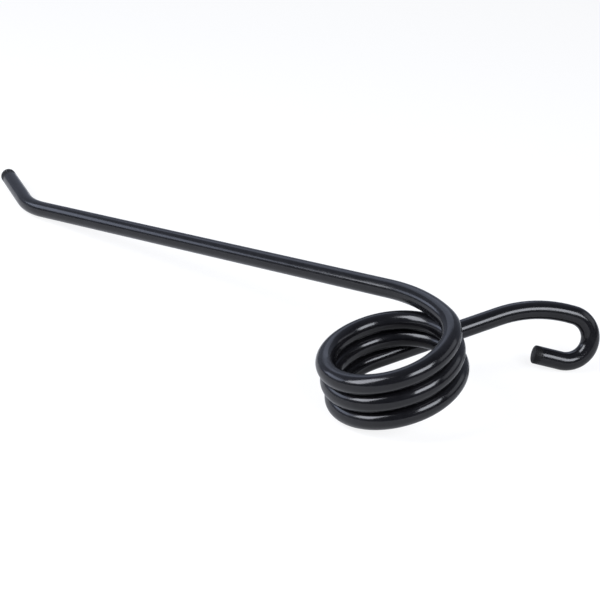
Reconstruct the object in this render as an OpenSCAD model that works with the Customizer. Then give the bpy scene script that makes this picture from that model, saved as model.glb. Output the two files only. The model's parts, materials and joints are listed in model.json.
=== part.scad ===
// Coiled spring tine, bent from one length of round wire: a long working leg with its tip
// turned out, a close-wound coil, and a short arm that ends in a hook.
// The wire is described as it is bent, as a list of steps outwards from the lower end of
// the coil. It lies as it rests, on its tip, the lower rim of the coil and the hook, with
// +Z up and the hook towards +X. The coil's axis meets the ground at the origin.

/* [Wire] */
// Diameter of the wire
wire_d = 9; // [6:0.5:11]
// Chamfer round both cut ends
end_chamfer = 0.6; // [0.2:0.1:1.5]

/* [Coil] */
// Diameter of the coil, from wire centre to wire centre
coil_d = 58; // [46:1:80]
// Gap between neighbouring turns
turn_gap = 0.3; // [0.2:0.1:2]
// Length of the winding, in quarter turns
quarter_turns = 11; // [7:4:19]

/* [Long leg] */
// Radius of the easy bend that leads from the coil to the leg
lead_r = 75; // [40:1:100]
// Angle of the bend that leads from the coil to the leg
lead_angle = 31; // [15:1:50]
// Straight length of the leg
leg_length = 252; // [180:1:340]
// Radius of the bend at the tip
tip_r = 50; // [20:1:60]
// Angle through which the tip turns out
tip_angle = 27; // [10:1:45]
// Straight length of the tip
tip_length = 43; // [20:1:70]

/* [Short arm and hook] */
// Straight length of the arm below the coil
arm_length = 64; // [45:1:90]
// Roll of the wire before the bend that drops the arm, round from the way the coil bends
drop_turn = 56; // [20:1:110]
// Radius of the bend that drops the arm
drop_r = 63; // [40:1:90]
// Angle of the bend that drops the arm
drop_angle = 34; // [25:1:60]
// Straight between the two bends
drop_feed = 1; // [1:0.5:20]
// Roll of the wire between that bend and the hook
hook_turn = 17; // [0:1:40]
// Radius of the hook, to the wire's centre
hook_r = 11.5; // [9:0.5:20]
// Angle through which the hook curls
hook_angle = 178; // [120:1:190]
// Straight length at the hook's end
hook_end = 14; // [8:1:30]

/* [Hidden] */
$fn = 64;

wire_r = wire_d / 2;
// Straight runs are drawn this much thinner than the bends and let into them by this much,
// so that the runs join into one body
joint_step = 0.02;
joint_lap = 0.05;
straight_r = wire_r - joint_step;
coil_r = coil_d / 2;
pitch = wire_d + turn_gap;

// A turn of the coil is four flat quarter bends. Rolling the wire about itself between two
// of them makes it climb, and half of that roll stands at each end of the coil.
quarter = 90;
climb = pitch / 4;
half_roll = asin(climb / sqrt(4 * coil_r * coil_r - climb * climb));

// Steps of each side: [straight feed, roll of the wire, bend radius, bend angle]
coil_steps = [for (i = [0 : quarter_turns - 1])
    [0, i == 0 ? half_roll : 2 * half_roll, coil_r, quarter]];
lead_steps = [[0, half_roll, lead_r, lead_angle]];
tip_steps = [
    [leg_length, 180, tip_r, tip_angle],
    [tip_length - end_chamfer, 0, 0, 0]
];
arm_steps = [
    [arm_length, drop_turn, drop_r, drop_angle],
    [drop_feed, hook_turn, hook_r, hook_angle],
    [hook_end - end_chamfer, 0, 0, 0]
];

// Frames carried along the wire, which runs along each frame's own Z and bends towards its X
function feed_and_roll(s) = [
    [cos(s[1]), -sin(s[1]), 0, 0],
    [sin(s[1]), cos(s[1]), 0, 0],
    [0, 0, 1, s[0]],
    [0, 0, 0, 1]
];
function bend(s, a) = [
    [cos(a), 0, sin(a), s[2] * (1 - cos(a))],
    [0, 1, 0, 0],
    [-sin(a), 0, cos(a), s[2] * sin(a)],
    [0, 0, 0, 1]
];
function frame_after(steps, m, i = 0) =
    i == len(steps) ? m :
    frame_after(steps, m * feed_and_roll(steps[i]) * bend(steps[i], steps[i][3]), i + 1);
// Frames along the wire, one at every degree of each bend
function frames(steps, m, i = 0) =
    i == len(steps) ? [] :
    concat(
        [for (a = [0 : 1 : steps[i][3]]) m * feed_and_roll(steps[i]) * bend(steps[i], a)],
        frames(steps, m * feed_and_roll(steps[i]) * bend(steps[i], steps[i][3]), i + 1)
    );

level = [[1, 0, 0, 0], [0, 1, 0, 0], [0, 0, 1, 0], [0, 0, 0, 1]];
backwards = [[1, 0, 0, 0], [0, -1, 0, 0], [0, 0, -1, 0], [0, 0, 0, 1]];
coil_frames = frames(coil_steps, level);
tip_frames = frames(tip_steps, frame_after(concat(coil_steps, lead_steps), level));
arm_frames = frames(arm_steps, backwards);

// The coil's axis, from the turn and the climb of one quarter
half_turn = acos(cos(quarter / 2) * cos(half_roll));
coil_axis = [0, sin(quarter / 2), cos(quarter / 2) * sin(half_roll)] / sin(half_turn);
rise = 2 * coil_r * sin(quarter / 2) * sin(half_roll) / sin(half_turn);
axis_point = [sqrt(pow(2 * coil_r * sin(quarter / 2), 2) - rise * rise) / (2 * sin(half_turn)), 0, 0];

// The wire's lowest point in each group of frames, and the ground through three of them,
// found again from each new up direction until it stays the same
settling_rounds = 8;
function unit(v) = v / norm(v);
function centre(m) = [m[0][3], m[1][3], m[2][3]];
function along(m) = [m[0][2], m[1][2], m[2][2]];
function underside(m, up) = centre(m) - wire_r * unit(up - (up * along(m)) * along(m));
function lowest(group, up) =
    let (points = [for (m = group) underside(m, up)], heights = [for (p = points) p * up])
    points[search(min(heights), heights)[0]];
function settle(up, rounds) =
    rounds == 0 ? up :
    let (
        a = lowest(tip_frames, up),
        b = lowest(coil_frames, up),
        c = lowest(arm_frames, up),
        n = unit(cross(b - a, c - a))
    )
    settle(n * up > 0 ? n : -n, rounds - 1);
up = settle(coil_axis, settling_rounds);
ground = lowest(coil_frames, up) * up;
origin = axis_point + coil_axis * (ground - up * axis_point) / (up * coil_axis);
ahead = unit((coil_axis * up) * up - coil_axis);
side = cross(up, ahead);

// Stands the bent wire on the ground
module at_rest() {
    multmatrix([
        [ahead[0], ahead[1], ahead[2], -ahead * origin],
        [side[0], side[1], side[2], -side * origin],
        [up[0], up[1], up[2], -up * origin],
        [0, 0, 0, 1]
    ])
        children();
}

// One flat bend of the wire
module bent(radius, angle) {
    translate([radius, 0, 0])
        rotate([90, 0, 0])
            rotate_extrude(angle = angle, start = 180 - angle)
                translate([radius, 0])
                    circle(wire_r);
}

// The wire from step i onwards, to its chamfered end
module wire(steps, i = 0) {
    if (i < len(steps)) {
        feed = steps[i][0];
        radius = steps[i][2];
        angle = steps[i][3];
        if (feed > 0)
            translate([0, 0, -joint_lap])
                cylinder(r = straight_r, h = joint_lap + feed + (angle > 0 ? joint_lap : 0));
        translate([0, 0, feed])
            rotate([0, 0, steps[i][1]]) {
                if (angle > 0)
                    bent(radius, angle);
                translate([radius, 0, 0])
                    rotate([0, angle, 0])
                        translate([-radius, 0, 0])
                            wire(steps, i + 1);
            }
    } else {
        cylinder(r1 = straight_r, r2 = straight_r - end_chamfer, h = end_chamfer);
    }
}

module tine() {
    color([0.11, 0.12, 0.15])
        at_rest() {
            wire(concat(coil_steps, lead_steps, tip_steps));
            rotate([180, 0, 0])
                wire(arm_steps);
        }
}

tine();
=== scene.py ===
"""The finish of a coiled spring tine: one length of round spring wire, bent cold and coated black.

Everything is in metres in the row frame: +Z is up from the ground that the tine lies on, and the
coil's axis meets the ground at the origin.
"""

import json
import math

import bpy
from mathutils import Matrix, Vector


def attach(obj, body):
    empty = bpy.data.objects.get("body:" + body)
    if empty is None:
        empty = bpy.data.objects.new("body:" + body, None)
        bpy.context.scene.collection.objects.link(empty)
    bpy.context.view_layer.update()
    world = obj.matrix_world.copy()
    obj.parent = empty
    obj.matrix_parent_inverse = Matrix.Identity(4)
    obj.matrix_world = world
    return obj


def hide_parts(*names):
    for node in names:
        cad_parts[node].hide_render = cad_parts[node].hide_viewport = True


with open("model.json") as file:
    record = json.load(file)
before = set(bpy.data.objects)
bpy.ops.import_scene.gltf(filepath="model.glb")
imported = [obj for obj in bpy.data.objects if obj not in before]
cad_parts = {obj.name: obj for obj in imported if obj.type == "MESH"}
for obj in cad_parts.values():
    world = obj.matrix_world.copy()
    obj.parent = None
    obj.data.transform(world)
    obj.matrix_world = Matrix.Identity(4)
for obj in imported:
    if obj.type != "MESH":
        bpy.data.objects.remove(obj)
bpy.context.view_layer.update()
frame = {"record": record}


# ------------------------------------------------------------------ the wire
# The tine is a single length of 9 mm oil-tempered spring wire. It is sheared to length, its ends
# are broken over, and it is bent in one run on a coiling machine: the hook first, then the drop
# of the arm, the close-wound coil, the easy bend that leads out of it, and last the tip.

WIRE_D = 0.009
END_CHAMFER = 0.0006
END_ROUNDING = 0.00038

HOOK_END, HOOK_R, HOOK_ANGLE = 0.014, 0.0115, math.radians(178)
HOOK_TURN = math.radians(17)
DROP_FEED, DROP_R, DROP_ANGLE = 0.001, 0.063, math.radians(34)
DROP_TURN = math.radians(56)
ARM_LENGTH = 0.064
COIL_D, TURN_GAP, QUARTER_TURNS = 0.058, 0.0003, 11
LEAD_R, LEAD_ANGLE = 0.075, math.radians(31)
LEG_LENGTH = 0.252
TIP_R, TIP_ANGLE = 0.050, math.radians(27)
TIP_LENGTH = 0.043

RING_SIDES = 96
RING_EVERY = 0.003
BEND_STEP = math.radians(3)
SAME_PLACE = 1e-6

# A quarter turn of the coil is one flat bend. The wire rolls about itself between two of them,
# which makes the coil climb by a quarter of its pitch.
climb = (WIRE_D + TURN_GAP) / 4
roll = math.asin(climb / math.sqrt(COIL_D**2 - climb**2))
quarter = math.radians(90)

# Each step of the bending: straight feed, roll of the wire, bend radius, bend angle
bending = [
    (HOOK_END - END_CHAMFER, 0, HOOK_R, HOOK_ANGLE),
    (DROP_FEED, HOOK_TURN, DROP_R, DROP_ANGLE),
    (ARM_LENGTH, DROP_TURN + roll, COIL_D / 2, quarter),
    *[(0, 2 * roll, COIL_D / 2, quarter)] * (QUARTER_TURNS - 1),
    (0, roll, LEAD_R, LEAD_ANGLE),
    (LEG_LENGTH, math.pi, TIP_R, TIP_ANGLE),
    (TIP_LENGTH - END_CHAMFER, 0, 0, 0),
]

# The wire starts at the hook's end. The record gives that end as a pin, and the axis that the
# hook bends round as a seat. The wire runs along its frame's own Z and bends towards its X.
mounts = {m["name"]: m for m in frame["record"]["mounts"]}
pin, seat = mounts["hook_end"], mounts["hook_seat"]
pin_length = pin["dims"]["length_mm"] / 1000
along = -Vector(pin["axis"]).normalized()
towards = along.cross(Vector(seat["axis"])).normalized()
at = Matrix((towards, along.cross(towards), along)).transposed().to_4x4()
at.translation = Vector(pin["pos_m"]) - along * pin_length / 2

bpy.ops.object.select_all(action="DESELECT")
bpy.ops.mesh.primitive_circle_add(
    vertices=RING_SIDES,
    radius=WIRE_D / 2,
    fill_type="NOTHING",
    location=at.translation,
    rotation=at.to_euler(),
)
wire = bpy.context.object
wire.name = wire.data.name = "tine_wire"
bpy.ops.object.transform_apply()


def close_cut(place, outwards):
    """Chamfers the selected ring outwards and closes it with the sheared face."""
    share = 1 - 2 * END_CHAMFER / WIRE_D
    bpy.ops.mesh.extrude_region_move(TRANSFORM_OT_translate={"value": outwards * END_CHAMFER})
    bpy.ops.transform.resize(value=(share,) * 3, center_override=place + outwards * END_CHAMFER)
    bpy.ops.mesh.edge_face_add()


hook_cut, hook_out = at.translation.copy(), -along
bpy.ops.object.mode_set(mode="EDIT")
bpy.ops.mesh.select_all(action="SELECT")
for feed, turn, radius, angle in bending:
    runs = math.ceil(feed / RING_EVERY)
    for _ in range(runs):
        step = at.to_3x3() @ Vector((0, 0, feed / runs))
        bpy.ops.mesh.extrude_region_move(TRANSFORM_OT_translate={"value": step})
        at.translation += step
    at = at @ Matrix.Rotation(turn, 4, "Z")
    if angle:
        # The spin tool turns the other way about an axis than a rotation matrix does.
        bpy.ops.mesh.spin(
            steps=math.ceil(angle / BEND_STEP),
            angle=-angle,
            center=at @ Vector((radius, 0, 0)),
            axis=at.to_3x3() @ Vector((0, 1, 0)),
        )
        pivot = Matrix.Translation((radius, 0, 0))
        at = at @ pivot @ Matrix.Rotation(angle, 4, "Y") @ pivot.inverted()
tip_cut, tip_out = at.translation.copy(), at.to_3x3() @ Vector((0, 0, 1))
close_cut(tip_cut, tip_out)

# The ring that the wire started from is still open.
bpy.ops.mesh.select_all(action="DESELECT")
bpy.ops.object.mode_set(mode="OBJECT")
for v in wire.data.vertices:
    reach = v.co - hook_cut
    v.select = reach.length < 0.6 * WIRE_D and abs(reach.dot(hook_out)) < SAME_PLACE
bpy.ops.object.mode_set(mode="EDIT")
close_cut(hook_cut, hook_out)
bpy.ops.mesh.select_all(action="SELECT")
bpy.ops.mesh.remove_doubles(threshold=SAME_PLACE)
bpy.ops.mesh.normals_make_consistent(inside=False)
bpy.ops.object.mode_set(mode="OBJECT")

# The coating flows over the edges of the cuts, so they are rounded.
rounding = wire.modifiers.new("rounding", "BEVEL")
rounding.limit_method = "ANGLE"
rounding.angle_limit = math.radians(30)
rounding.width = END_ROUNDING
rounding.segments = 4
bpy.ops.object.modifier_apply(modifier=rounding.name)
bpy.ops.object.shade_smooth_by_angle(angle=math.radians(40))


# ------------------------------------------------------------------ the coating
# The bent wire is dipped in gloss black paint and stoved. The paint levels to a faint orange peel
# and is a little thicker in places. Round the cuts it is thin and dull and the torn grain of the
# steel shows through, further up at the tip, which is chipped as well.

PEEL_DEPTH = 0.000016
PAINT_THIN = (0.0068, 0.0066, 0.0078, 1)
PAINT_THICK = (0.0031, 0.0030, 0.0036, 1)
SCALE_BLACK = (0.0045, 0.0043, 0.0042, 1)
BARE_STEEL = (0.2, 0.2, 0.205, 1)

# How far from the middle of a cut the paint is whole again, and within what it is all worn
WORN_AT_HOOK = (0.0069, 0.0060)
WORN_AT_TIP = (0.0100, 0.0080)


class Paint:
    """A socket of the material being written, with arithmetic that adds Math nodes."""

    tree = None

    def __init__(self, socket):
        self.socket = socket

    @classmethod
    def node(cls, kind, settings, inputs):
        """Adds a node, makes its settings first, then fills its sockets with values or links."""
        made = cls.tree.nodes.new(kind)
        for name, value in settings.items():
            setattr(made, name, value)
        for key, value in inputs.items():
            if isinstance(value, Paint):
                cls.tree.links.new(value.socket, made.inputs[key])
            else:
                made.inputs[key].default_value = value
        return made

    def maths(self, operation, first, second):
        made = Paint.node("ShaderNodeMath", {"operation": operation}, {0: first, 1: second})
        return Paint(made.outputs[0])

    def __add__(self, other):
        return self.maths("ADD", self, other)

    def __mul__(self, other):
        return self.maths("MULTIPLY", self, other)

    __radd__ = __add__
    __rmul__ = __mul__


def clouds(place, size, detail=2.0, rough=0.5):
    """Noise with lumps about this many metres across."""
    inputs = {"Vector": place, "Scale": 1 / size, "Detail": detail, "Roughness": rough}
    return Paint(Paint.node("ShaderNodeTexNoise", {}, inputs).outputs[0])


def spread(value, low, high):
    """Stretches the part of a value between low and high over 0 to 1."""
    inputs = {"Value": value, "From Min": low, "From Max": high}
    return Paint(Paint.node("ShaderNodeMapRange", {}, inputs).outputs[0])


def mixed(share, first, second):
    """Goes from the first colour to the second as the share goes from 0 to 1."""
    inputs = {0: share, 6: first, 7: second}
    return Paint(Paint.node("ShaderNodeMix", {"data_type": "RGBA"}, inputs).outputs[2])


def how_far(place, point):
    """Distance of each place from one point."""
    inputs = {0: place, 1: tuple(point)}
    made = Paint.node("ShaderNodeVectorMath", {"operation": "DISTANCE"}, inputs)
    return Paint(made.outputs["Value"])


coating = bpy.data.materials.new("gloss_black_coating")
coating.use_nodes = True
Paint.tree = coating.node_tree
Paint.tree.nodes.clear()
place = Paint(Paint.node("ShaderNodeTexCoord", {}, {}).outputs["Object"])

grain = clouds(place, 0.0005, 2.0)
peel = 0.75 * clouds(place, 0.0016, 1.0) + 0.25 * grain
runs_and_pools = 0.6 * clouds(place, 0.024, 3.0) + 0.4 * clouds(place, 0.0035, 3.0, 0.6)
thickness = spread(runs_and_pools, 0.38, 0.62)
ragged = 0.0026 * clouds(place, 0.0024, 3.0, 0.6)
hook_worn = spread(how_far(place, hook_cut) + ragged, *WORN_AT_HOOK)
tip_worn = spread(how_far(place, tip_cut) + ragged, *WORN_AT_TIP)
worn = hook_worn + tip_worn
chipped = tip_worn * spread(clouds(place, 0.0010, 2.0, 0.6), 0.64, 0.70)
streaks = spread(clouds(place, 0.006, 3.0, 0.65), 0.35, 0.65)

height = peel + worn * (7.0 * grain)
bump = Paint.node("ShaderNodeBump", {}, {"Strength": 1.0, "Distance": PEEL_DEPTH, "Height": height})
relief = Paint(bump.outputs[0])
gloss = Paint.node(
    "ShaderNodeBsdfPrincipled",
    {},
    {
        "Base Color": mixed(thickness, PAINT_THIN, PAINT_THICK),
        "Roughness": 0.14 + 0.07 * streaks,
        "IOR": 1.45,
        "Normal": relief,
    },
)
dull = Paint.node(
    "ShaderNodeBsdfPrincipled",
    {},
    {
        "Base Color": mixed(chipped, SCALE_BLACK, BARE_STEEL),
        "Roughness": 0.55 + 0.1 * streaks,
        "IOR": 1.3,
        "Normal": relief,
    },
)
surface = Paint.node(
    "ShaderNodeMixShader",
    {},
    {0: worn, 1: Paint(gloss.outputs[0]), 2: Paint(dull.outputs[0])},
)
Paint.node("ShaderNodeOutputMaterial", {}, {"Surface": Paint(surface.outputs[0])})
wire.data.materials.append(coating)

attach(wire, "root")
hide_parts("tine")


# ------------------------------------------------------------------ the ground
# A plain white sheet under the tine. The camera sees it nearly pure white, the gloss sees it a
# good deal darker, and it keeps a faint soft shadow.

GROUND_SIZE = 12
GROUND_DROP = 0.0001
GROUND_WHITE = 0.72
WHITE_IN_GLOSS = 0.2

bpy.ops.object.select_all(action="DESELECT")
bpy.ops.mesh.primitive_plane_add(size=GROUND_SIZE, location=(0, 0, -GROUND_DROP))
ground = bpy.context.object
ground.name = ground.data.name = "ground"
white = bpy.data.materials.new("white_ground")
white.use_nodes = True
Paint.tree = white.node_tree
Paint.tree.nodes.clear()
rays = Paint.node("ShaderNodeLightPath", {}, {}).outputs
direct = Paint(rays["Is Camera Ray"]) + Paint(rays["Is Transmission Ray"])
seen = direct + WHITE_IN_GLOSS * Paint(rays["Is Glossy Ray"])
lit = Paint.node("ShaderNodeBsdfDiffuse", {}, {"Color": (0.65, 0.65, 0.65, 1)})
bright = Paint.node("ShaderNodeEmission", {}, {"Color": (1, 1, 1, 1), "Strength": 1.18})
blend = Paint.node(
    "ShaderNodeMixShader",
    {},
    {0: GROUND_WHITE * seen, 1: Paint(lit.outputs[0]), 2: Paint(bright.outputs[0])},
)
Paint.node("ShaderNodeOutputMaterial", {}, {"Surface": Paint(blend.outputs[0])})
ground.data.materials.append(white)


# ------------------------------------------------------------------ the studio
# Soft boxes to the left and behind the camera to its right, a wide dim one to the right, a low
# one beside the leg, and a dim wall beyond the tine. The room is dim on the camera's side and
# lighter beyond the tine, and white where it is seen straight.

AIM = Vector((0, 0, 0.025))
LAMP = (0.95, 0.98, 1.06)
DAYLIGHT = (0.86, 0.95, 1.2)
ROOM_NEAR = 0.13
ROOM_FAR = 0.38


def soft_box(name, colour, bearing, height, away, wide, tall, level):
    """A soft light of that many metres, that far from the coil, as bright as its level of white.
    Its bearing is from +Y towards +X and its height above the ground, both in degrees."""
    b, h = math.radians(bearing), math.radians(height)
    direction = Vector((math.cos(h) * math.sin(b), math.cos(h) * math.cos(b), math.sin(h)))
    light = bpy.data.lights.new(name, "AREA")
    light.shape = "RECTANGLE"
    light.size, light.size_y = wide, tall
    light.color = colour
    light.energy = level * math.pi * wide * tall
    box = bpy.data.objects.new(name, light)
    box.location = AIM + direction * away
    box.rotation_euler = direction.to_track_quat("Z", "Y").to_euler()
    box.visible_camera = False
    bpy.context.scene.collection.objects.link(box)


soft_box("left_box", LAMP, -92, 38, 1.0, 0.48, 0.70, 9.5)
soft_box("low_box", DAYLIGHT, -58, 18, 1.05, 0.60, 0.26, 2.4)
soft_box("right_box", LAMP, 163, 38, 1.0, 0.56, 0.44, 10.0)
soft_box("side_box", LAMP, 104, 28, 1.0, 0.80, 0.50, 1.0)
soft_box("far_wall", DAYLIGHT, 5, 38, 2.0, 1.46, 0.80, 0.75)

scene = bpy.context.scene
scene.world = bpy.data.worlds.new("room")
scene.world.use_nodes = True
Paint.tree = scene.world.node_tree
Paint.tree.nodes.clear()
rays = Paint.node("ShaderNodeLightPath", {}, {}).outputs
seen = Paint(rays["Is Camera Ray"]) + Paint(rays["Is Transmission Ray"])
outlook = Paint(Paint.node("ShaderNodeTexCoord", {}, {}).outputs["Generated"])
beyond = Paint(Paint.node("ShaderNodeSeparateXYZ", {}, {0: outlook}).outputs["Y"])
grey = ROOM_NEAR + (ROOM_FAR - ROOM_NEAR) * spread(beyond, -0.1, 0.7)
room = Paint.node("ShaderNodeBackground", {}, {"Color": (*DAYLIGHT, 1), "Strength": grey})
white_room = Paint.node("ShaderNodeBackground", {}, {"Color": (1, 1, 1, 1), "Strength": 1.0})
blend = Paint.node(
    "ShaderNodeMixShader",
    {},
    {0: seen, 1: Paint(room.outputs[0]), 2: Paint(white_room.outputs[0])},
)
Paint.node("ShaderNodeOutputWorld", {}, {"Surface": Paint(blend.outputs[0])})


# ------------------------------------------------------------------ the camera
# It stands half a metre off and looks down past the coil along the leg, turned a few degrees
# about its own line of sight.

LENS = 82.25
STANDS_AT = (-0.1942, -0.5093, 0.3088)
LOOKING = Vector((0.2439, 0.8699, -0.4288))
LEAN = math.radians(3.36)

camera = bpy.data.objects.new("camera", bpy.data.cameras.new("camera"))
camera.data.lens = LENS
camera.location = STANDS_AT
lean = Matrix.Rotation(LEAN, 3, "Z").to_quaternion()
camera.rotation_euler = (LOOKING.to_track_quat("-Z", "Y") @ lean).to_euler()
scene.collection.objects.link(camera)
scene.camera = camera
scene.view_settings.view_transform = "Standard"
